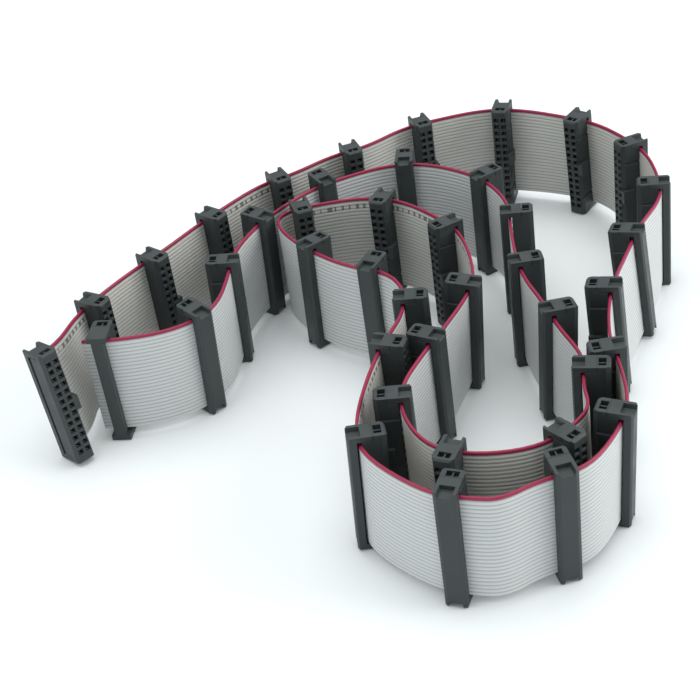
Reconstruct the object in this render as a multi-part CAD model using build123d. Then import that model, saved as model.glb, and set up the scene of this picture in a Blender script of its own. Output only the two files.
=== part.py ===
"""A 26-way ribbon cable with forty-one 2 x 13 press-on sockets, standing on edge on a table.

Units are millimetres, +Z is up.  The origin lies on the table, under the middle of the cable's
outline, and the cable stands on the lower ends of its sockets.  Each socket is a body that takes
2.54 mm pitch pins, a cover that clamps the ribbon against the body from behind, and 26 contact
forks.  A socket is drawn once in its own frame (+X along the ribbon, +Z along the socket, -Y out
of its mating face, with the ribbon in the plane Y = 0) and then placed on the ribbon's route.
"""
from build123d import *
import os
from math import atan2, cos, hypot, pi, radians, sin, tan

# ---------------------------------------------------------------- ribbon
WAYS = 26
CONDUCTOR_PITCH = 1.27
RIBBON_WIDTH = WAYS * CONDUCTOR_PITCH
RIBBON_THICKNESS = 0.9
FILLET_SHARE = 0.45                # how much of the shorter run a bend's arc takes up

# The middle of the ribbon seen from above, walked from the first socket to the last.  Every
# socket sits on a straight run, and one run leads to the next socket.  After the sockets in
# EXTRA_BEND_AFTER the ribbon has one more bend, and so one more run, before the next socket.
# ROUTE_MIDDLE is the middle of the whole cable's outline in these points' own terms.
ROUTE_MIDDLE = (-1.337, 0.083)
ROUTE_POINTS = [
    (-99, -15), (-92.5, -9.5), (-89, 7), (-81.5, 18), (-71.5, 30), (-62.5, 39),
    (-52.5, 51), (-43.5, 60.5), (-30, 73.5), (-18, 78), (-4, 87), (8.5, 90),
    (22, 99.5), (34.5, 102.5), (52.5, 104.5), (65, 100), (79, 90.5), (88.5, 81.5),
    (94.5, 67), (98.5, 54), (98, 37), (95.5, 24), (86, 9), (80, -3),
    (71.5, -18), (67, -30), (62.5, -46.5), (62.5, -59.5), (60.5, -75.3), (54.5, -87.3),
    (45, -98.5), (32.5, -100.5), (22.5, -105.5), (15.5, -104), (4.5, -99), (-10, -81),
    (-10.5, -68.5), (-7.5, -56), (-2, -40), (3.5, -28), (8.5, -19), (10.5, -6.5),
    (7, 4.5), (-4, 11.5), (-12.5, 19.5), (-20.5, 31), (-25.5, 43), (-24, 51.5),
    (-10.5, 54), (5, 53.5), (16.5, 47), (26.5, 32.5), (32, 20.5), (31.5, -4.5),
    (26, -16.5), (18.8, -29.6), (11.8, -40.1), (4, -53.5), (2.5, -66.5), (7.5, -81.5),
    (19.5, -88), (35.5, -88.5), (46, -81), (50.9, -75), (51, -65.5), (54.2, -53),
    (49.5, -37.5), (48, -24.5), (45.5, -9), (45.5, 4), (47, 20.5), (49, 33.5),
    (46.5, 47.5), (40, 59.5), (26.5, 71), (13, 73.5), (-2, 69.5), (-14, 64),
    (-26.5, 53.5), (-34.5, 43.5), (-41, 29.5), (-42.5, 16.5), (-46.5, 1.5), (-57, -7.5),
    (-74, -10), (-86, -7.5),
]
ROUTE = [(x - ROUTE_MIDDLE[0], y - ROUTE_MIDDLE[1]) for x, y in ROUTE_POINTS]
SOCKETS = 41
EXTRA_BEND_AFTER = (16, 18, 22, 30)
TAIL = 2.5                         # ribbon left sticking out past the last socket
SET_IN = 0.6                       # first socket's side to the ribbon's cut end inside its slit

# Degrees that a socket's top leans towards its mating side, and the ribbon with it.
LEANS = {1: -8, 9: 4, 12: 5, 13: 3, 15: -2, 16: -2, 18: 2.5, 22: 2, 26: -3, 32: 2.5, 38: -3,
         39: -2, 40: -4}

# ---------------------------------------------------------------- socket
SOCKET_LENGTH = 37.6
SOCKET_WIDTH = 6.0
BODY_DEPTH = 7.3                   # ribbon plane to mating face
COVER_DEPTH = 3.1                  # ribbon plane to the cover's back
RIBBON_GAP = 1.3                   # space between body and cover
END_GAP = 0.6                      # ribbon edge to the cover's arms
HAIRLINE = 0.05                    # between a cover's arms and the body they grip
ARM_REACH = 3.65                   # how far the arms reach past the ribbon plane
END_CHAMFER = 0.5                  # round both ends of the mating face
CORNER_ACROSS = 0.8                # long bevels beside the mating face
CORNER_BACK = 1.3
COVER_CORNER_ACROSS = 0.9          # long bevels beside the cover's back
COVER_CORNER_DEPTH = 0.45

CHANNEL_FLOOR_WIDTH = 3.4
CHANNEL_TOP_WIDTH = 4.2
CHANNEL_DEPTH = 1.4
CHANNEL_REACH = 0.5                # how far the channel runs past the ribbon plane
NARROW_COVER_WIDTH = 3.6           # back bar of the last socket's cover

LATCH_LENGTH = 2.1
LATCH_WIDTH = 3.4
LATCH_DEPTH = 1.5
LATCH_START = 4.0                  # ribbon plane to the latch pocket
LATCH_BAR = 0.4
LATCH_BAR_DROP = 0.45              # the bar's top below the end of the body

ROWS = 13
PIN_PITCH = 2.54
PIN_HOLE = 1.3
HOLE_MOUTH = 1.75                  # outer size of a pin hole's lead-in
LEAD_IN = 0.5
FORK_SLOT_X = 0.5
FORK_SLOT_Z = 1.1
FORK_SLOT_DEPTH = 1.4

KEY_LENGTH = 4.5
KEY_PROUD = 1.0
KEY_DEPTH = 4.2
NOTCH_WIDTH = 1.0
NOTCH_DEPTH = 0.45
NOTCH_HEIGHT = 11.8                # above and below the socket's middle

# ---------------------------------------------------------------- contact
CONTACT_SHEET = 0.3
FORK_WIDTH = 1.0
FORK_GAP = 0.34
FORK_FLARE = 0.1
FORK_DEPTH = 1.0
TIP_CLEARANCE = 0.05               # fork tips to the ribbon's face
ARM_WIDTH = 0.22
ARM_GAP = 0.6
STEM_LENGTH = 0.6
SET_BACK = 1.0                     # mating face to the ends of the spring arms

GROUPS = [(1, 5), (6, 10), (11, 15), (16, 20), (21, 25), (26, 29), (30, 33), (34, 37), (38, 41)]

HALF_LENGTH = SOCKET_LENGTH / 2
HALF_WIDTH = SOCKET_WIDTH / 2
HALF_GAP = RIBBON_GAP / 2
ARM_INNER = RIBBON_WIDTH / 2 + END_GAP
MID_HEIGHT = SOCKET_LENGTH / 2
FIRST_ROW = (ROWS - 1) * PIN_PITCH / 2


# ---------------------------------------------------------------- route
def socket_runs():
    """Index of the route point at which each socket's run starts."""
    runs, start = [], 0
    for number in range(1, SOCKETS + 1):
        runs.append(start)
        start += 3 if number in EXTRA_BEND_AFTER else 2
    return runs


def direction(a, b):
    length = hypot(b[0] - a[0], b[1] - a[1])
    return (b[0] - a[0]) / length, (b[1] - a[1]) / length


def turn_between(before, after):
    """Signed angle, in radians, from one direction to the next, left turns positive."""
    return (atan2(after[1], after[0]) - atan2(before[1], before[0]) + pi) % (2 * pi) - pi


def point_leans():
    """For each route point, the sideways shift per millimetre of height above mid-height."""
    shifts = [None] * len(ROUTE)
    for number, start in enumerate(socket_runs(), 1):
        along = direction(ROUTE[start], ROUTE[start + 1])
        slope = tan(radians(LEANS.get(number, 0)))
        for i in (start, start + 1):
            shifts[i] = (along[1] * slope, -along[0] * slope)
    for i, shift in enumerate(shifts):
        if shift is None:
            before, after = shifts[i - 1], shifts[i + 1]
            shifts[i] = ((before[0] + after[0]) / 2, (before[1] + after[1]) / 2)
    return shifts


def route_at(height):
    """The route's points at one height above the ribbon's mid-height."""
    return [(x + sx * height, y + sy * height) for (x, y), (sx, sy) in zip(ROUTE, point_leans())]


def bend_radii(points):
    radii = []
    for a, b, c in zip(points, points[1:], points[2:]):
        shorter = min(hypot(b[0] - a[0], b[1] - a[1]), hypot(c[0] - b[0], c[1] - b[1]))
        turn = abs(turn_between(direction(a, b), direction(b, c)))
        radii.append(FILLET_SHARE * shorter / tan(turn / 2))
    return radii


# ---------------------------------------------------------------- ribbon
def ribbon_edge(points, radii, left, z):
    """One face of the ribbon as runs and tangent arcs, set off to the left of the route."""
    corners, corner_radii = [], []
    for i, (x, y) in enumerate(points):
        before = direction(points[max(i - 1, 0)], points[max(i, 1)])
        after = direction(points[min(i, len(points) - 2)], points[min(i + 1, len(points) - 1)])
        normals = (-before[1] - after[1], before[0] + after[0])
        mitre = 2 * left / (normals[0] ** 2 + normals[1] ** 2)
        corners.append((x + normals[0] * mitre, y + normals[1] * mitre, z))
        if 0 < i < len(points) - 1:
            inside = turn_between(before, after) > 0
            corner_radii.append(radii[i - 1] - left if inside else radii[i - 1] + left)
    return corners, FilletPolyline(*corners, radius=corner_radii)


def ribbon_section(height):
    """The ribbon's outline at one height, as a thin flat face."""
    points = route_at(height)
    radii = bend_radii(points)
    z = MID_HEIGHT + height
    left_corners, left_edge = ribbon_edge(points, radii, RIBBON_THICKNESS / 2, z)
    right_corners, right_edge = ribbon_edge(points, radii, -RIBBON_THICKNESS / 2, z)
    ends = [Edge.make_line(left_corners[i], right_corners[i]) for i in (0, -1)]
    return Face(Wire([*left_edge.edges(), *right_edge.edges(), *ends]))


def ribbon():
    """One plain band, ruled from its lower edge to its upper edge."""
    lower = ribbon_section(-RIBBON_WIDTH / 2)
    upper = ribbon_section(RIBBON_WIDTH / 2)
    return loft([lower, upper], ruled=True)


# ---------------------------------------------------------------- socket pieces, in their frame
def block(x_size, y_from, y_to, z_from, z_to, x_middle=0.0):
    """A box given by its width about x_middle and its limits along Y and Z."""
    middle = (x_middle, (y_from + y_to) / 2, (z_from + z_to) / 2)
    return Pos(*middle) * Box(x_size, abs(y_to - y_from), abs(z_to - z_from))


def side_profile(outline, x_from, x_to):
    """A solid with a Y-Z outline, from x_from to x_to."""
    face = make_face(Polyline(*[(x_from, y, z) for y, z in outline], close=True))
    return extrude(face, amount=x_to - x_from, dir=(1, 0, 0))


def end_profile(outline, z_from, z_to):
    """A solid with an X-Y outline, from z_from to z_to."""
    face = make_face(Polyline(*[(x, y, z_from) for x, y in outline], close=True))
    return extrude(face, amount=z_to - z_from, dir=(0, 0, 1))


def pin_rows():
    return [FIRST_ROW - row * PIN_PITCH for row in range(ROWS)]


def contact_columns():
    """Each column's X, and which way its forks are shifted to reach their conductors."""
    return (-PIN_PITCH / 2, -CONDUCTOR_PITCH / 2), (PIN_PITCH / 2, CONDUCTOR_PITCH / 2)


def cavity(x, z, fork_shift):
    """The room for one contact: a lead-in, a square pin hole and the fork's slot behind it."""
    front = -BODY_DEPTH
    rim = Plane(origin=(x, front, z), x_dir=(1, 0, 0), z_dir=(0, 1, 0))
    throat = rim.offset(LEAD_IN)
    lead_in = loft([rim * Rectangle(HOLE_MOUTH, HOLE_MOUTH), throat * Rectangle(PIN_HOLE, PIN_HOLE)])
    slot_floor = -HALF_GAP - FORK_SLOT_DEPTH
    hole = block(PIN_HOLE, front + LEAD_IN, slot_floor, z - PIN_HOLE / 2, z + PIN_HOLE / 2, x)
    fork_z = z + fork_shift
    slot = block(FORK_SLOT_X, slot_floor, -HALF_GAP, fork_z - FORK_SLOT_Z / 2,
                 fork_z + FORK_SLOT_Z / 2, x)
    return [lead_in, hole, slot]


def body_blank():
    """The body's outside: end blocks cut back under the cover's arms, chamfered front."""
    front, back = -BODY_DEPTH, -HALF_GAP
    shoulder = -ARM_REACH - HAIRLINE
    under_arm = ARM_INNER - HAIRLINE
    outline = [(back, under_arm), (shoulder, under_arm), (shoulder, HALF_LENGTH),
               (front + END_CHAMFER, HALF_LENGTH), (front, HALF_LENGTH - END_CHAMFER)]
    outline += [(y, -z) for y, z in reversed(outline)]
    blank = side_profile(outline, -HALF_WIDTH, HALF_WIDTH)
    for side in (-1, 1):
        corner = [(side * HALF_WIDTH, front + CORNER_BACK), (side * (HALF_WIDTH - CORNER_ACROSS), front),
                  (side * HALF_WIDTH, front)]
        blank -= end_profile(corner, -HALF_LENGTH, HALF_LENGTH)
    return blank


def latch_pocket(end):
    """The pocket in one end of the body, deeper in two slots beside its sunk latch bar."""
    floor, top = end * (HALF_LENGTH - LATCH_DEPTH), end * HALF_LENGTH
    slot = (LATCH_WIDTH - LATCH_BAR) / 2
    middle = (LATCH_BAR + slot) / 2
    near, far = -LATCH_START, -LATCH_START - LATCH_LENGTH
    pocket = block(LATCH_WIDTH, far, near, end * (HALF_LENGTH - LATCH_BAR_DROP), top)
    return [pocket] + [block(slot, far, near, floor, top, side * middle) for side in (-1, 1)]


def side_notch(z):
    """A shallow V across the key side of the body."""
    half = NOTCH_WIDTH / 2
    plane = Plane(origin=(HALF_WIDTH, 0, z), x_dir=(0, 0, 1), z_dir=(0, -1, 0))
    outline = make_face(plane * Polyline((-half, 0), (half, 0), (0, NOTCH_DEPTH), close=True))
    return extrude(outline, amount=BODY_DEPTH)


def socket_body():
    body = body_blank()
    body += block(KEY_PROUD + CORNER_ACROSS, -BODY_DEPTH, -BODY_DEPTH + KEY_DEPTH,
                  -KEY_LENGTH / 2, KEY_LENGTH / 2, HALF_WIDTH + (KEY_PROUD - CORNER_ACROSS) / 2)
    cuts = []
    for x, fork_shift in contact_columns():
        for z in pin_rows():
            cuts += cavity(x, z, fork_shift)
    for end in (-1, 1):
        cuts += latch_pocket(end)
    for z in (-NOTCH_HEIGHT, NOTCH_HEIGHT):
        cuts.append(side_notch(z))
    return body.cut(*cuts)


def cover_end(end):
    """One gripping arm: a block over the ribbon's edge."""
    return block(SOCKET_WIDTH, COVER_DEPTH, -ARM_REACH, end * ARM_INNER, end * HALF_LENGTH)


def cover_channel(end):
    """The room cut into a full cover's arm, open to the back between two ears."""
    floor, top = end * (HALF_LENGTH - CHANNEL_DEPTH), end * HALF_LENGTH
    half_floor, half_top = CHANNEL_FLOOR_WIDTH / 2, CHANNEL_TOP_WIDTH / 2
    outline = [(-half_floor, floor), (half_floor, floor), (half_top, top), (-half_top, top)]
    face = make_face(Polyline(*[(x, COVER_DEPTH, z) for x, z in outline], close=True))
    return extrude(face, amount=COVER_DEPTH + CHANNEL_REACH, dir=(0, -1, 0))


def socket_cover(bar_width=SOCKET_WIDTH):
    """The back bar and its two arms; a full cover has channels and bevels, a narrow one none."""
    cover = block(bar_width, HALF_GAP, COVER_DEPTH, -ARM_INNER, ARM_INNER)
    for end in (-1, 1):
        cover += cover_end(end)
    if bar_width == SOCKET_WIDTH:
        cover = cover.cut(cover_channel(-1), cover_channel(1))
        for side in (-1, 1):
            corner = [(side * HALF_WIDTH, COVER_DEPTH - COVER_CORNER_DEPTH),
                      (side * (HALF_WIDTH - COVER_CORNER_ACROSS), COVER_DEPTH),
                      (side * HALF_WIDTH, COVER_DEPTH)]
            cover -= end_profile(corner, -HALF_LENGTH, HALF_LENGTH)
    return cover


def contact(x, z, fork_shift):
    """A flat blade: fork towards the ribbon, cranked stem, two spring arms towards the pin."""
    tips = -RIBBON_THICKNESS / 2 - TIP_CLEARANCE
    notch = tips - FORK_DEPTH
    shoulder = -HALF_GAP - FORK_SLOT_DEPTH + HAIRLINE
    base = shoulder - 2 * HAIRLINE
    stem = base - STEM_LENGTH
    ends = -BODY_DEPTH + SET_BACK
    middle = abs(fork_shift)
    fork, gap = FORK_WIDTH / 2, FORK_GAP / 2
    flared = gap + FORK_FLARE
    inner, outer = ARM_GAP / 2, ARM_GAP / 2 + ARM_WIDTH
    outline = [(tips, middle + flared), (notch, middle + gap), (notch, middle - gap),
               (tips, middle - flared), (tips, middle - fork), (base, middle - fork),
               (base, -outer), (ends, -outer), (ends, -inner), (stem, -inner), (stem, inner),
               (ends, inner), (ends, outer), (shoulder, outer), (shoulder, middle + fork),
               (tips, middle + fork)]
    side = 1 if fork_shift > 0 else -1
    outline = [(y, z + side * dz) for y, dz in outline]
    return side_profile(outline, x - CONTACT_SHEET / 2, x + CONTACT_SHEET / 2)


def contact_set():
    return [contact(x, z, fork_shift) for x, fork_shift in contact_columns() for z in pin_rows()]


# ---------------------------------------------------------------- placing
def socket_centre(number, start):
    """Where a socket's middle lies on its run, seen from above at mid-height."""
    a, b = ROUTE[start], ROUTE[start + 1]
    along = direction(a, b)
    if number == 1:
        inside = HALF_WIDTH - SET_IN
        return a[0] + along[0] * inside, a[1] + along[1] * inside
    if number == SOCKETS:
        back = HALF_WIDTH + TAIL
        return b[0] - along[0] * back, b[1] - along[1] * back
    return (a[0] + b[0]) / 2, (a[1] + b[1]) / 2


def socket_locations():
    """A location for each socket, standing with its lowest edge on the table."""
    locations = []
    for number, start in enumerate(socket_runs(), 1):
        along = direction(ROUTE[start], ROUTE[start + 1])
        mating = (along[1], -along[0])
        lean = radians(LEANS.get(number, 0))
        low_side = BODY_DEPTH - END_CHAMFER if lean > 0 else COVER_DEPTH
        height = HALF_LENGTH * cos(lean) + low_side * sin(abs(lean))
        x, y = socket_centre(number, start)
        sideways = tan(lean) * (height - MID_HEIGHT)
        origin = (x + mating[0] * sideways, y + mating[1] * sideways, height)
        up = (mating[0] * sin(lean), mating[1] * sin(lean), cos(lean))
        locations.append(Plane(origin=origin, x_dir=(*along, 0), z_dir=up).location)
    return locations


def write(name, solids):
    shape = solids[0] if len(solids) == 1 else Compound(children=solids)
    export_step(shape, f"parts/{name}.step", write_pcurves=False)
    print(name, len(solids))


def main():
    os.makedirs("parts", exist_ok=True)
    print("route radii", [round(radius, 1) for radius in bend_radii(ROUTE)])
    locations = socket_locations()
    write("ribbon", [ribbon().solid()])

    body = socket_body().solid()
    for number, location in enumerate(locations, 1):
        write(f"socket_body_{number:02d}", [body.moved(location)])

    full_cover = socket_cover().solid()
    narrow_cover = socket_cover(NARROW_COVER_WIDTH).solid()
    contacts = [blade.solid() for blade in contact_set()]
    for first, last in GROUPS:
        members = range(first, last + 1)
        covers = [(narrow_cover if n == SOCKETS else full_cover).moved(locations[n - 1])
                  for n in members]
        write(f"socket_covers_{first:02d}_{last:02d}", covers)
        forks = [blade.moved(locations[n - 1]) for n in members for blade in contacts]
        write(f"contact_forks_{first:02d}_{last:02d}", forks)


main()
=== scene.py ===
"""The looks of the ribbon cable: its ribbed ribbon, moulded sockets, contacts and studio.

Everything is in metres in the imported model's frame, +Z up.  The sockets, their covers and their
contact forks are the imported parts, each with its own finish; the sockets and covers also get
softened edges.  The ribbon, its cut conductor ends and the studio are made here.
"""
from math import cos, hypot, radians, sin, tan

import bmesh
import bpy
from mathutils import Matrix, Vector


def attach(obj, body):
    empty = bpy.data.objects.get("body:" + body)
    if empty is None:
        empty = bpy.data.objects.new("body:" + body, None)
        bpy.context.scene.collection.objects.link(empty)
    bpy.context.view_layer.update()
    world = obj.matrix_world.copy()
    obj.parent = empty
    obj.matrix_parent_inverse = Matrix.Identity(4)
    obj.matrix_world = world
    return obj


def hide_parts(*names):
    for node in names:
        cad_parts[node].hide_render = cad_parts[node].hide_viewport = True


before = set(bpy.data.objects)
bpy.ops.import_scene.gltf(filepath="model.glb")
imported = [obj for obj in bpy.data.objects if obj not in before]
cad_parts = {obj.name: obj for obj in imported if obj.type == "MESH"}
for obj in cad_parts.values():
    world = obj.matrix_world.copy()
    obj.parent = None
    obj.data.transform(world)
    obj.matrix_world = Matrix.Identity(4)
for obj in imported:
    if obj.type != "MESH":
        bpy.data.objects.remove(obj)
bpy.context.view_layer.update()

MM = 0.001

# ---------------------------------------------------------------- sizes, in millimetres
WAYS = 26
CONDUCTOR_PITCH = 1.27
RIBBON_WIDTH = WAYS * CONDUCTOR_PITCH
MID_HEIGHT = 18.8
RIBBON_CREST = 0.45                # middle of the ribbon to the crest of a rib
RIBBON_VALLEY = 0.25

ROUTE_MIDDLE = (-1.337, 0.083)
ROUTE_POINTS = [
    (-99, -15), (-92.5, -9.5), (-89, 7), (-81.5, 18), (-71.5, 30), (-62.5, 39),
    (-52.5, 51), (-43.5, 60.5), (-30, 73.5), (-18, 78), (-4, 87), (8.5, 90),
    (22, 99.5), (34.5, 102.5), (52.5, 104.5), (65, 100), (79, 90.5), (88.5, 81.5),
    (94.5, 67), (98.5, 54), (98, 37), (95.5, 24), (86, 9), (80, -3),
    (71.5, -18), (67, -30), (62.5, -46.5), (62.5, -59.5), (60.5, -75.3), (54.5, -87.3),
    (45, -98.5), (32.5, -100.5), (22.5, -105.5), (15.5, -104), (4.5, -99), (-10, -81),
    (-10.5, -68.5), (-7.5, -56), (-2, -40), (3.5, -28), (8.5, -19), (10.5, -6.5),
    (7, 4.5), (-4, 11.5), (-12.5, 19.5), (-20.5, 31), (-25.5, 43), (-24, 51.5),
    (-10.5, 54), (5, 53.5), (16.5, 47), (26.5, 32.5), (32, 20.5), (31.5, -4.5),
    (26, -16.5), (18.8, -29.6), (11.8, -40.1), (4, -53.5), (2.5, -66.5), (7.5, -81.5),
    (19.5, -88), (35.5, -88.5), (46, -81), (50.9, -75), (51, -65.5), (54.2, -53),
    (49.5, -37.5), (48, -24.5), (45.5, -9), (45.5, 4), (47, 20.5), (49, 33.5),
    (46.5, 47.5), (40, 59.5), (26.5, 71), (13, 73.5), (-2, 69.5), (-14, 64),
    (-26.5, 53.5), (-34.5, 43.5), (-41, 29.5), (-42.5, 16.5), (-46.5, 1.5), (-57, -7.5),
    (-74, -10), (-86, -7.5),
]
ROUTE = [(x - ROUTE_MIDDLE[0], y - ROUTE_MIDDLE[1]) for x, y in ROUTE_POINTS]
SOCKETS = 41
EXTRA_BEND_AFTER = (16, 18, 22, 30)
LEANS = {1: -8, 9: 4, 12: 5, 13: 3, 15: -2, 16: -2, 18: 2.5, 22: 2, 26: -3, 32: 2.5, 38: -3,
         39: -2, 40: -4}           # degrees, top towards the mating side
PRINTED_AFTER = (1, 4, 18, 23, 24, 25, 27)   # sockets whose next stretch carries a printed row

LINE_RESOLUTION = 5                # points per stretch between two route points
RIB_SHOULDER = 0.28                # ways from a rib's middle to its shoulder
SHOULDER_HEIGHT = 0.93 * RIBBON_CREST
EDGE_VALLEY = 0.43                 # ways from the outermost ribs' middles to their outer valleys
PRINT_CLEAR_OF_SOCKET = 4.0
PRINT_CELL = 0.0024                # metres for each printed dash and the space after it
PRINT_TOP, PRINT_FOOT = 2.2, 3.9   # down from the ribbon's top edge

WIRE_RADIUS = 0.00019              # metres
WIRE_LENGTH = 0.0004               # metres
WIRE_INSET = 0.17
WIRE_SIDES = 10

CORNER_WELD = 0.002
EDGE_BEVEL = 0.12
BEVEL_ABOVE_DEGREES = 30

# ---------------------------------------------------------------- camera and studio settings
CAMERA_PITCH = 34.33               # degrees down
CAMERA_ROLL = -8.74                # degrees
CAMERA_PLACE = (-8.10, -376.80, 269.5)   # millimetres, in the route points' own terms
CAMERA_LENS = 76.17
SENSOR_WIDTH = 36

FLOOR_HALF_SIZE = 6.0              # metres
FLOOR_DROP = 0.0002                # metres under the sockets' lower ends
# name, place, target, size, power and colour of each area light, in metres and watts
LIGHTS = (
    ("overhead", (0.0, 0.2, 1.6), (0, 0, 0), 1.8, 20, (1.0, 0.995, 0.98)),
    ("right_softbox", (1.5, -0.2, 0.7), (0, 0, 0.02), 1.1, 15.5, (1.0, 1.0, 0.99)),
    ("left_softbox", (-1.5, -0.5, 0.6), (0, 0, 0.02), 1.1, 5.5, (0.93, 0.98, 1.0)),
)
SOFT_WORLD = ((0.93, 0.975, 1.0, 1.0), 0.5)     # colour and strength that light the cable
SEEN_WORLD = ((1.0, 1.0, 1.0, 1.0), 1.0)        # colour and strength seen behind it


# ---------------------------------------------------------------- camera
def make_camera():
    """A 76 mm lens looking down over the cable, turned a little about its own axis."""
    pitch, roll = radians(CAMERA_PITCH), radians(CAMERA_ROLL)
    x, y, z = CAMERA_PLACE
    place = Vector((x - ROUTE_MIDDLE[0], y - ROUTE_MIDDLE[1], z)) * MM
    forward = Vector((0, cos(pitch), -sin(pitch)))
    level_right = Vector((1, 0, 0))
    level_up = level_right.cross(forward)
    right = level_right * cos(roll) + level_up * sin(roll)
    up = level_up * cos(roll) - level_right * sin(roll)
    data = bpy.data.cameras.new("camera")
    data.sensor_width = SENSOR_WIDTH
    data.lens = CAMERA_LENS
    data.clip_start = 0.01
    data.clip_end = 30
    camera = bpy.data.objects.new("camera", data)
    turned = Matrix((right, up, -forward)).transposed().to_4x4()
    camera.matrix_world = Matrix.Translation(place) @ turned
    bpy.context.scene.collection.objects.link(camera)
    bpy.context.scene.camera = camera


# ---------------------------------------------------------------- ribbon route
def socket_runs():
    runs, start = [], 0
    for number in range(1, SOCKETS + 1):
        runs.append(start)
        start += 3 if number in EXTRA_BEND_AFTER else 2
    return runs


def direction(a, b):
    length = hypot(b[0] - a[0], b[1] - a[1])
    return (b[0] - a[0]) / length, (b[1] - a[1]) / length


def point_leans():
    """For each route point, the sideways shift per millimetre of height above mid-height."""
    shifts = [None] * len(ROUTE)
    for number, start in enumerate(socket_runs(), 1):
        along = direction(ROUTE[start], ROUTE[start + 1])
        slope = tan(radians(LEANS.get(number, 0)))
        for i in (start, start + 1):
            shifts[i] = (along[1] * slope, -along[0] * slope)
    for i, shift in enumerate(shifts):
        if shift is None:
            before, after = shifts[i - 1], shifts[i + 1]
            shifts[i] = ((before[0] + after[0]) / 2, (before[1] + after[1]) / 2)
    return shifts


def smooth_line(points, name, resolution):
    """The points of a NURBS curve with the given control points."""
    data = bpy.data.curves.new(name, "CURVE")
    data.dimensions = "3D"
    data.resolution_u = resolution
    spline = data.splines.new("NURBS")
    spline.points.add(len(points) - 1)
    for control, place in zip(spline.points, points):
        control.co = (*place, 1)
    spline.order_u = 3
    spline.use_endpoint_u = True
    holder = bpy.data.objects.new(name, data)
    bpy.context.scene.collection.objects.link(holder)
    mesh = bpy.data.meshes.new_from_object(holder)
    line = [vertex.co.copy() for vertex in mesh.vertices]
    bpy.data.meshes.remove(mesh)
    bpy.data.objects.remove(holder)
    bpy.data.curves.remove(data)
    return line


def ribbon_lines(resolution):
    """Matching points along the ribbon's middle and along its upper edge."""
    middle = [Vector((x, y, MID_HEIGHT)) * MM for x, y in ROUTE]
    half = RIBBON_WIDTH / 2
    upper = [Vector((x + sx * half, y + sy * half, MID_HEIGHT + half)) * MM
             for (x, y), (sx, sy) in zip(ROUTE, point_leans())]
    return (smooth_line(middle, "ribbon_middle", resolution),
            smooth_line(upper, "ribbon_top", resolution))


# ---------------------------------------------------------------- ribbon mesh
def side_profile():
    """(share of the half width, height) up one face of the ribbon, edge tips left out."""
    profile = []
    for way in range(WAYS):
        middle = way + 0.5
        if way == 0:
            profile.append((middle - EDGE_VALLEY, RIBBON_VALLEY))
        profile.append((middle - RIB_SHOULDER, SHOULDER_HEIGHT))
        profile.append((middle, RIBBON_CREST))
        profile.append((middle + RIB_SHOULDER, SHOULDER_HEIGHT))
        to_valley = EDGE_VALLEY if way == WAYS - 1 else 0.5
        profile.append((middle + to_valley, RIBBON_VALLEY))
    return [(2 * across / WAYS - 1, height) for across, height in profile]


def ribbon_frames(middle, upper):
    """For each point along the ribbon: place, vector to its top edge, outward vector, distance."""
    frames, distance = [], 0.0
    for i, place in enumerate(middle):
        ahead = middle[min(i + 1, len(middle) - 1)] - middle[max(i - 1, 0)]
        rise = upper[i] - place
        outward = ahead.cross(rise).normalized()
        if i:
            distance += (place - middle[i - 1]).length
        frames.append((place, rise, outward, distance))
    return frames


def make_ribbon(frames, printed_spans):
    """A closed ribbed band with a UV map and marks for its mating side and printed stretches."""
    profile = side_profile()
    ring = [(-1.0, 0.0)] + profile + [(1.0, 0.0)] + [(s, -h) for s, h in reversed(profile)]
    count = len(ring)
    mesh = bmesh.new()
    rows = []
    for place, rise, outward, _ in frames:
        rows.append([mesh.verts.new(place + rise * s + outward * h * MM) for s, h in ring])
    uv = mesh.loops.layers.uv.new("UVMap")
    side_layer = mesh.faces.layers.float.new("mating_side")
    print_layer = mesh.faces.layers.float.new("printed")
    for i in range(len(rows) - 1):
        near, far = frames[i][3], frames[i + 1][3]
        printed = any(first <= (near + far) / 2 <= last for first, last in printed_spans)
        for j in range(count):
            k = (j + 1) % count
            face = mesh.faces.new((rows[i][j], rows[i + 1][j], rows[i + 1][k], rows[i][k]))
            face.smooth = True
            face[side_layer] = 1.0 if j <= len(profile) else 0.0
            face[print_layer] = 1.0 if printed else 0.0
            low, high = ring[j][0], ring[k][0]
            corners = ((near, low), (far, low), (far, high), (near, high))
            for loop, (along, across) in zip(face.loops, corners):
                loop[uv].uv = (along, (across + 1) / 2)
    for row, at in ((rows[0], 0), (rows[-1], -1)):
        face = mesh.faces.new(row)
        for loop, (across, _) in zip(face.loops, ring):
            loop[uv].uv = (frames[at][3], (across + 1) / 2)
    bmesh.ops.recalc_face_normals(mesh, faces=mesh.faces)
    data = bpy.data.meshes.new("ribbed_ribbon")
    mesh.to_mesh(data)
    mesh.free()
    piece = bpy.data.objects.new("ribbed_ribbon", data)
    bpy.context.scene.collection.objects.link(piece)
    return piece


def distance_near(frames, x, y):
    """How far along the ribbon the point nearest to (x, y) lies."""
    place = Vector((x, y)) * MM
    return min(frames, key=lambda item: (item[0].xy - place).length)[3]


def printed_spans(frames):
    """Start and end, along the ribbon, of each printed stretch between two sockets."""
    runs = socket_runs()
    spans = []
    for number in PRINTED_AFTER:
        ends = []
        for start in (runs[number - 1], runs[number]):
            a, b = ROUTE[start], ROUTE[start + 1]
            ends.append(distance_near(frames, (a[0] + b[0]) / 2, (a[1] + b[1]) / 2))
        spans.append((ends[0] + PRINT_CLEAR_OF_SOCKET * MM, ends[1] - PRINT_CLEAR_OF_SOCKET * MM))
    return spans


# ---------------------------------------------------------------- shader helpers
def srgb(red, green, blue):
    """Linear colour from 0-255 screen values."""
    def linear(value):
        value /= 255
        return value / 12.92 if value <= 0.04045 else ((value + 0.055) / 1.055) ** 2.4
    return (linear(red), linear(green), linear(blue), 1.0)


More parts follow.
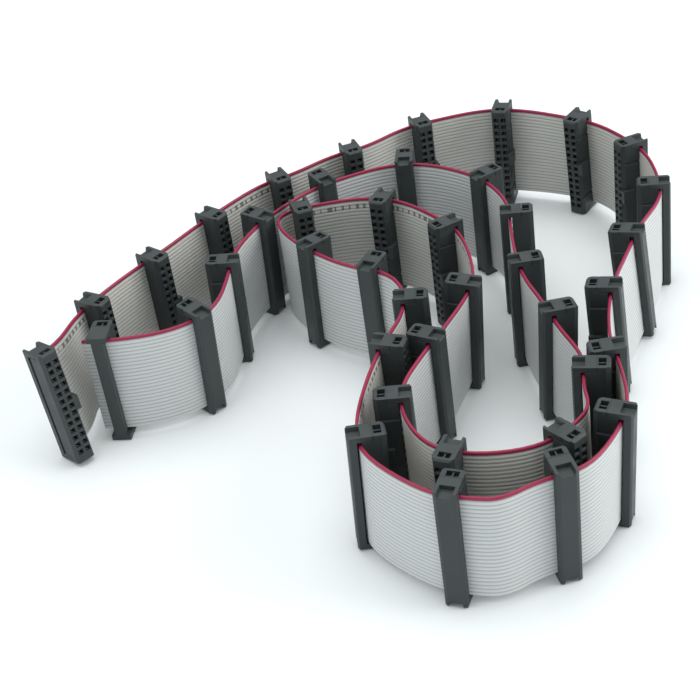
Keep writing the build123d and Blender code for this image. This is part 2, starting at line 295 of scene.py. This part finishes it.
def new_material(name):
    material = bpy.data.materials.new(name)
    material.use_nodes = True
    tree = material.node_tree
    tree.nodes.clear()
    output = tree.nodes.new("ShaderNodeOutputMaterial")
    shader = tree.nodes.new("ShaderNodeBsdfPrincipled")
    tree.links.new(shader.outputs[0], output.inputs["Surface"])
    return material, tree, shader


def node(tree, kind, **settings):
    made = tree.nodes.new(kind)
    for key, value in settings.items():
        setattr(made, key, value)
    return made


def maths(tree, operation, first, second=None):
    """A Math node; each input is a number or a socket."""
    made = node(tree, "ShaderNodeMath", operation=operation)
    for socket, value in zip(made.inputs, (first, second)):
        if value is None:
            continue
        if isinstance(value, (int, float)):
            socket.default_value = value
        else:
            tree.links.new(value, socket)
    return made.outputs[0]


def mix_colour(tree, factor, first, second):
    """A colour Mix node; each input is a colour or a socket."""
    made = node(tree, "ShaderNodeMix", data_type="RGBA")
    for index, value in ((0, factor), (6, first), (7, second)):
        if isinstance(value, (int, float, tuple)):
            made.inputs[index].default_value = value
        else:
            tree.links.new(value, made.inputs[index])
    return made.outputs[2]


def value_range(tree, value, low, high, to_low, to_high):
    made = node(tree, "ShaderNodeMapRange", clamp=True)
    tree.links.new(value, made.inputs["Value"])
    limits = (("From Min", low), ("From Max", high), ("To Min", to_low), ("To Max", to_high))
    for name, number in limits:
        made.inputs[name].default_value = number
    return made.outputs[0]


def noise(tree, vector, scale):
    made = node(tree, "ShaderNodeTexNoise")
    made.inputs["Scale"].default_value = scale
    made.inputs["Detail"].default_value = 3.0
    made.inputs["Roughness"].default_value = 0.5
    tree.links.new(vector, made.inputs["Vector"])
    return made.outputs["Fac"]


def bump(tree, height, strength, distance):
    made = node(tree, "ShaderNodeBump")
    made.inputs["Strength"].default_value = strength
    made.inputs["Distance"].default_value = distance
    tree.links.new(height, made.inputs["Height"])
    return made.outputs["Normal"]


def object_position(tree):
    return node(tree, "ShaderNodeTexCoord").outputs["Object"]


def make_grain_group():
    """Shared by every finish: fine grain, slow mottling and a little dust on what faces up."""
    group = bpy.data.node_groups.new("surface_grain", "ShaderNodeTree")
    inputs = (("Vector", "NodeSocketVector", None), ("Grain Scale", "NodeSocketFloat", 2500.0),
              ("Mottle Scale", "NodeSocketFloat", 120.0))
    for name, kind, default in inputs:
        socket = group.interface.new_socket(name, in_out="INPUT", socket_type=kind)
        if default is not None:
            socket.default_value = default
    for name in ("Grain", "Mottle", "Dust"):
        group.interface.new_socket(name, in_out="OUTPUT", socket_type="NodeSocketFloat")
    entry = group.nodes.new("NodeGroupInput")
    leave = group.nodes.new("NodeGroupOutput")

    def scaled_noise(scale_name, detail):
        made = node(group, "ShaderNodeTexNoise")
        made.inputs["Detail"].default_value = detail
        group.links.new(entry.outputs["Vector"], made.inputs["Vector"])
        group.links.new(entry.outputs[scale_name], made.inputs["Scale"])
        return made.outputs["Fac"]

    grain = scaled_noise("Grain Scale", 2.0)
    mottle = scaled_noise("Mottle Scale", 4.0)
    facing = node(group, "ShaderNodeSeparateXYZ")
    group.links.new(node(group, "ShaderNodeNewGeometry").outputs["Normal"], facing.inputs[0])
    upward = value_range(group, facing.outputs["Z"], 0.3, 1.0, 0.0, 1.0)
    dust = maths(group, "MULTIPLY", upward, mottle)
    for name, value in (("Grain", grain), ("Mottle", mottle), ("Dust", dust)):
        group.links.new(value, leave.inputs[name])
    return group


def add_grain(tree, group, grain_scale, mottle_scale):
    made = node(tree, "ShaderNodeGroup", node_tree=group)
    tree.links.new(object_position(tree), made.inputs["Vector"])
    made.inputs["Grain Scale"].default_value = grain_scale
    made.inputs["Mottle Scale"].default_value = mottle_scale
    return made.outputs


# ---------------------------------------------------------------- finishes
def ribbon_insulation(grain_group):
    """Matte grey vinyl, warmer on its mating side, with painted shade in its valleys, a red rib and
    printing.
    """
    material, tree, shader = new_material("ribbon_vinyl")
    grain = add_grain(tree, grain_group, 1800.0, 45.0)
    place = node(tree, "ShaderNodeSeparateXYZ")
    tree.links.new(node(tree, "ShaderNodeUVMap", uv_map="UVMap").outputs[0], place.inputs[0])
    along, across = place.outputs["X"], place.outputs["Y"]

    ways_up = maths(tree, "MULTIPLY", across, float(WAYS))
    off_middle = maths(tree, "SUBTRACT", maths(tree, "FRACT", ways_up), 0.5)
    from_middle = maths(tree, "ABSOLUTE", off_middle)
    # painted shade: this mask is 1 in the valleys between the ribs, which are darkened towards dark
    # grey below to stand in for the shade that falls in them
    painted_valley_shade = value_range(tree, from_middle, 0.26, 0.5, 0.0, 1.0)
    red = value_range(tree, ways_up, WAYS - 0.86, WAYS - 0.78, 0.0, 1.0)

    grey = mix_colour(tree, grain["Mottle"], srgb(200, 203, 203), srgb(212, 214, 213))
    side = node(tree, "ShaderNodeAttribute", attribute_name="mating_side").outputs["Fac"]
    grey = mix_colour(tree, maths(tree, "MULTIPLY", side, 0.6), grey, srgb(212, 210, 200))
    # painted shade: the rib valleys are mixed towards dark grey
    grey = mix_colour(tree, maths(tree, "MULTIPLY", painted_valley_shade, 0.55), grey, srgb(118, 120, 121))
    stripe = mix_colour(tree, grain["Mottle"], srgb(140, 24, 62), srgb(158, 34, 76))
    colour = mix_colour(tree, red, grey, stripe)

    mark = printed_dashes(tree, along, across)
    colour = mix_colour(tree, maths(tree, "MULTIPLY", mark, 0.75), colour, srgb(70, 68, 70))
    tree.links.new(colour, shader.inputs["Base Color"])
    rough = value_range(tree, grain["Mottle"], 0.3, 0.7, 0.4, 0.52)
    tree.links.new(rough, shader.inputs["Roughness"])
    tree.links.new(bump(tree, grain["Grain"], 0.15, 0.00003), shader.inputs["Normal"])
    return material


def printed_dashes(tree, along, across):
    """Plain dashes of uneven length in one row below the red rib, where the ribbon is printed."""
    cells_along = maths(tree, "DIVIDE", along, PRINT_CELL)
    cell = maths(tree, "FLOOR", cells_along)
    within = maths(tree, "FRACT", cells_along)
    chance = node(tree, "ShaderNodeTexWhiteNoise", noise_dimensions="1D")
    tree.links.new(cell, chance.inputs["W"])
    length = value_range(tree, chance.outputs["Value"], 0.0, 1.0, 0.15, 0.7)
    dash = maths(tree, "LESS_THAN", within, length)
    below = maths(tree, "LESS_THAN", across, 1 - PRINT_TOP / RIBBON_WIDTH)
    above = maths(tree, "GREATER_THAN", across, 1 - PRINT_FOOT / RIBBON_WIDTH)
    row = maths(tree, "MULTIPLY", below, above)
    side = node(tree, "ShaderNodeAttribute", attribute_name="mating_side").outputs["Fac"]
    printed = node(tree, "ShaderNodeAttribute", attribute_name="printed").outputs["Fac"]
    where = maths(tree, "MULTIPLY", side, printed)
    return maths(tree, "MULTIPLY", where, maths(tree, "MULTIPLY", row, dash))


def moulded_plastic(grain_group):
    """Charcoal glass-filled plastic, fine matte, greyer and dustier where it faces up."""
    material, tree, shader = new_material("moulded_plastic")
    grain = add_grain(tree, grain_group, 3200.0, 160.0)
    colour = mix_colour(tree, grain["Mottle"], srgb(40, 45, 46), srgb(56, 63, 64))
    dust = maths(tree, "MULTIPLY", grain["Dust"], 0.2)
    colour = mix_colour(tree, dust, colour, srgb(104, 112, 112))
    tree.links.new(colour, shader.inputs["Base Color"])
    rough = value_range(tree, grain["Mottle"], 0.3, 0.7, 0.42, 0.6)
    tree.links.new(rough, shader.inputs["Roughness"])
    shader.inputs["Specular IOR Level"].default_value = 0.45
    tree.links.new(bump(tree, grain["Grain"], 0.25, 0.00004), shader.inputs["Normal"])
    return material


def plated_metal(grain_group, name, dark, light, rough_low, rough_high):
    """A bright metal whose colour and roughness vary a little."""
    material, tree, shader = new_material(name)
    grain = add_grain(tree, grain_group, 4000.0, 600.0)
    tree.links.new(mix_colour(tree, grain["Mottle"], dark, light), shader.inputs["Base Color"])
    shader.inputs["Metallic"].default_value = 1.0
    rough = value_range(tree, grain["Mottle"], 0.3, 0.7, rough_low, rough_high)
    tree.links.new(rough, shader.inputs["Roughness"])
    return material


# ---------------------------------------------------------------- conductor ends
def conductor_tree(metal):
    """A row of short round wire ends: length, spacing and radius are inputs."""
    tree = bpy.data.node_groups.new("conductor_ends", "GeometryNodeTree")
    inputs = (("Ways", "NodeSocketInt", WAYS), ("Pitch", "NodeSocketFloat", CONDUCTOR_PITCH * MM),
              ("Wire Radius", "NodeSocketFloat", WIRE_RADIUS),
              ("Wire Length", "NodeSocketFloat", WIRE_LENGTH))
    for name, kind, default in inputs:
        tree.interface.new_socket(name, in_out="INPUT", socket_type=kind).default_value = default
    tree.interface.new_socket("Geometry", in_out="OUTPUT", socket_type="NodeSocketGeometry")
    entry = tree.nodes.new("NodeGroupInput")
    leave = tree.nodes.new("NodeGroupOutput")
    line = node(tree, "GeometryNodeMeshLine")
    tree.links.new(entry.outputs["Ways"], line.inputs["Count"])
    step = node(tree, "ShaderNodeCombineXYZ")
    tree.links.new(entry.outputs["Pitch"], step.inputs["Z"])
    tree.links.new(step.outputs[0], line.inputs["Offset"])
    first = node(tree, "ShaderNodeCombineXYZ")
    below = maths(tree, "MULTIPLY", entry.outputs["Pitch"], -(WAYS - 1) / 2)
    tree.links.new(below, first.inputs["Z"])
    tree.links.new(first.outputs[0], line.inputs["Start Location"])
    wire = node(tree, "GeometryNodeMeshCylinder")
    wire.inputs["Vertices"].default_value = WIRE_SIDES
    tree.links.new(entry.outputs["Wire Radius"], wire.inputs["Radius"])
    tree.links.new(entry.outputs["Wire Length"], wire.inputs["Depth"])
    laid = node(tree, "GeometryNodeInstanceOnPoints")
    laid.inputs["Rotation"].default_value = (0, radians(90), 0)
    tree.links.new(line.outputs["Mesh"], laid.inputs["Points"])
    tree.links.new(wire.outputs["Mesh"], laid.inputs["Instance"])
    real = node(tree, "GeometryNodeRealizeInstances")
    tree.links.new(laid.outputs[0], real.inputs[0])
    finish = node(tree, "GeometryNodeSetMaterial")
    finish.inputs["Material"].default_value = metal
    tree.links.new(real.outputs[0], finish.inputs["Geometry"])
    tree.links.new(finish.outputs[0], leave.inputs["Geometry"])
    return tree


def nodes_to_mesh(tree, name, place, settings):
    """The tree's result as a plain mesh object with its place in its mesh."""
    holder = bpy.data.objects.new(name + "_maker", bpy.data.meshes.new(name + "_empty"))
    bpy.context.scene.collection.objects.link(holder)
    modifier = holder.modifiers.new("maker", "NODES")
    modifier.node_group = tree
    sockets = {item.name: item.identifier for item in tree.interface.items_tree
               if item.in_out == "INPUT"}
    for key, value in settings.items():
        modifier[sockets[key]] = value
    evaluated = holder.evaluated_get(bpy.context.evaluated_depsgraph_get())
    data = bpy.data.meshes.new_from_object(evaluated)
    data.transform(place)
    bpy.data.objects.remove(holder)
    piece = bpy.data.objects.new(name, data)
    bpy.context.scene.collection.objects.link(piece)
    return piece


def make_conductor_ends(frames, metal):
    """The 26 cut wires showing at each end of the ribbon, a hair proud of the cut."""
    tree = conductor_tree(metal)
    ends = []
    for name, at, inward in (("first_end_wires", 0, 1), ("last_end_wires", -1, -1)):
        place, rise, outward, _ = frames[at]
        up = rise.normalized()
        along = up.cross(outward).normalized()
        shift = along * inward * WIRE_INSET * MM
        turned = Matrix((along, outward, up)).transposed().to_4x4()
        ends.append(nodes_to_mesh(tree, name, Matrix.Translation(place + shift) @ turned,
                                  {"Wire Radius": WIRE_RADIUS, "Wire Length": WIRE_LENGTH}))
    return ends


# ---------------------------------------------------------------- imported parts
def finish_packed_parts(plastic, metal):
    """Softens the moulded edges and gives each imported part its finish."""
    for name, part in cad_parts.items():
        if name == "ribbon":
            continue
        finish = metal if name.startswith("contact_forks") else plastic
        for material_slot in part.material_slots:
            material_slot.material = finish
        if finish is plastic:
            weld = part.modifiers.new("join_corners", "WELD")
            weld.merge_threshold = CORNER_WELD * MM
            bevel = part.modifiers.new("soft_edges", "BEVEL")
            bevel.width = EDGE_BEVEL * MM
            bevel.segments = 1
            bevel.limit_method = "ANGLE"
            bevel.angle_limit = radians(BEVEL_ABOVE_DEGREES)
            bevel.harden_normals = False


# ---------------------------------------------------------------- studio
def make_floor():
    """A wide pale floor that keeps the shadows, set in a white surround."""
    size = FLOOR_HALF_SIZE
    data = bpy.data.meshes.new("floor")
    corners = [(-size, -size), (size, -size), (size, size), (-size, size)]
    data.from_pydata([(x, y, -FLOOR_DROP) for x, y in corners], [], [(0, 1, 2, 3)])
    floor = bpy.data.objects.new("floor", data)
    bpy.context.scene.collection.objects.link(floor)
    material, tree, shader = new_material("pale_floor")
    position = object_position(tree)
    cloud = noise(tree, position, 3.0)
    colour = mix_colour(tree, cloud, srgb(240, 245, 247), srgb(245, 249, 250))
    tree.links.new(colour, shader.inputs["Base Color"])
    shader.inputs["Roughness"].default_value = 0.6
    data.materials.append(material)


def area_light(name, place, target, size, power, colour):
    data = bpy.data.lights.new(name, "AREA")
    data.size = size
    data.energy = power
    data.color = colour
    lamp = bpy.data.objects.new(name, data)
    bpy.context.scene.collection.objects.link(lamp)
    heading = Vector(target) - Vector(place)
    turned = heading.to_track_quat("-Z", "Y").to_matrix().to_4x4()
    lamp.matrix_world = Matrix.Translation(place) @ turned


def make_lights():
    for settings in LIGHTS:
        area_light(*settings)
    world = bpy.data.worlds.new("studio")
    bpy.context.scene.world = world
    world.use_nodes = True
    tree = world.node_tree
    tree.nodes.clear()
    output = tree.nodes.new("ShaderNodeOutputWorld")
    seen = tree.nodes.new("ShaderNodeLightPath")
    mixed = tree.nodes.new("ShaderNodeMixShader")
    tree.links.new(seen.outputs["Is Camera Ray"], mixed.inputs[0])
    for socket, (colour, strength) in zip(mixed.inputs[1:], (SOFT_WORLD, SEEN_WORLD)):
        surround = tree.nodes.new("ShaderNodeBackground")
        surround.inputs["Color"].default_value = colour
        surround.inputs["Strength"].default_value = strength
        tree.links.new(surround.outputs[0], socket)
    tree.links.new(mixed.outputs[0], output.inputs["Surface"])


# ---------------------------------------------------------------- the whole
def main():
    make_camera()
    middle, upper = ribbon_lines(LINE_RESOLUTION)
    frames = ribbon_frames(middle, upper)
    ribbon = make_ribbon(frames, printed_spans(frames))

    grain_group = make_grain_group()
    ribbon.data.materials.append(ribbon_insulation(grain_group))
    plastic = moulded_plastic(grain_group)
    tin = plated_metal(grain_group, "tin_plate",
                       srgb(190, 186, 176), srgb(226, 222, 212), 0.25, 0.4)
    copper = plated_metal(grain_group, "bare_copper",
                          srgb(176, 112, 84), srgb(212, 150, 118), 0.3, 0.45)

    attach(ribbon, "root")
    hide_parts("ribbon")
    wires = make_conductor_ends(frames, copper)
    for piece in wires:
        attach(piece, "root")

    finish_packed_parts(plastic, tin)
    bpy.context.scene.view_settings.view_transform = "Standard"
    make_floor()
    make_lights()


main()
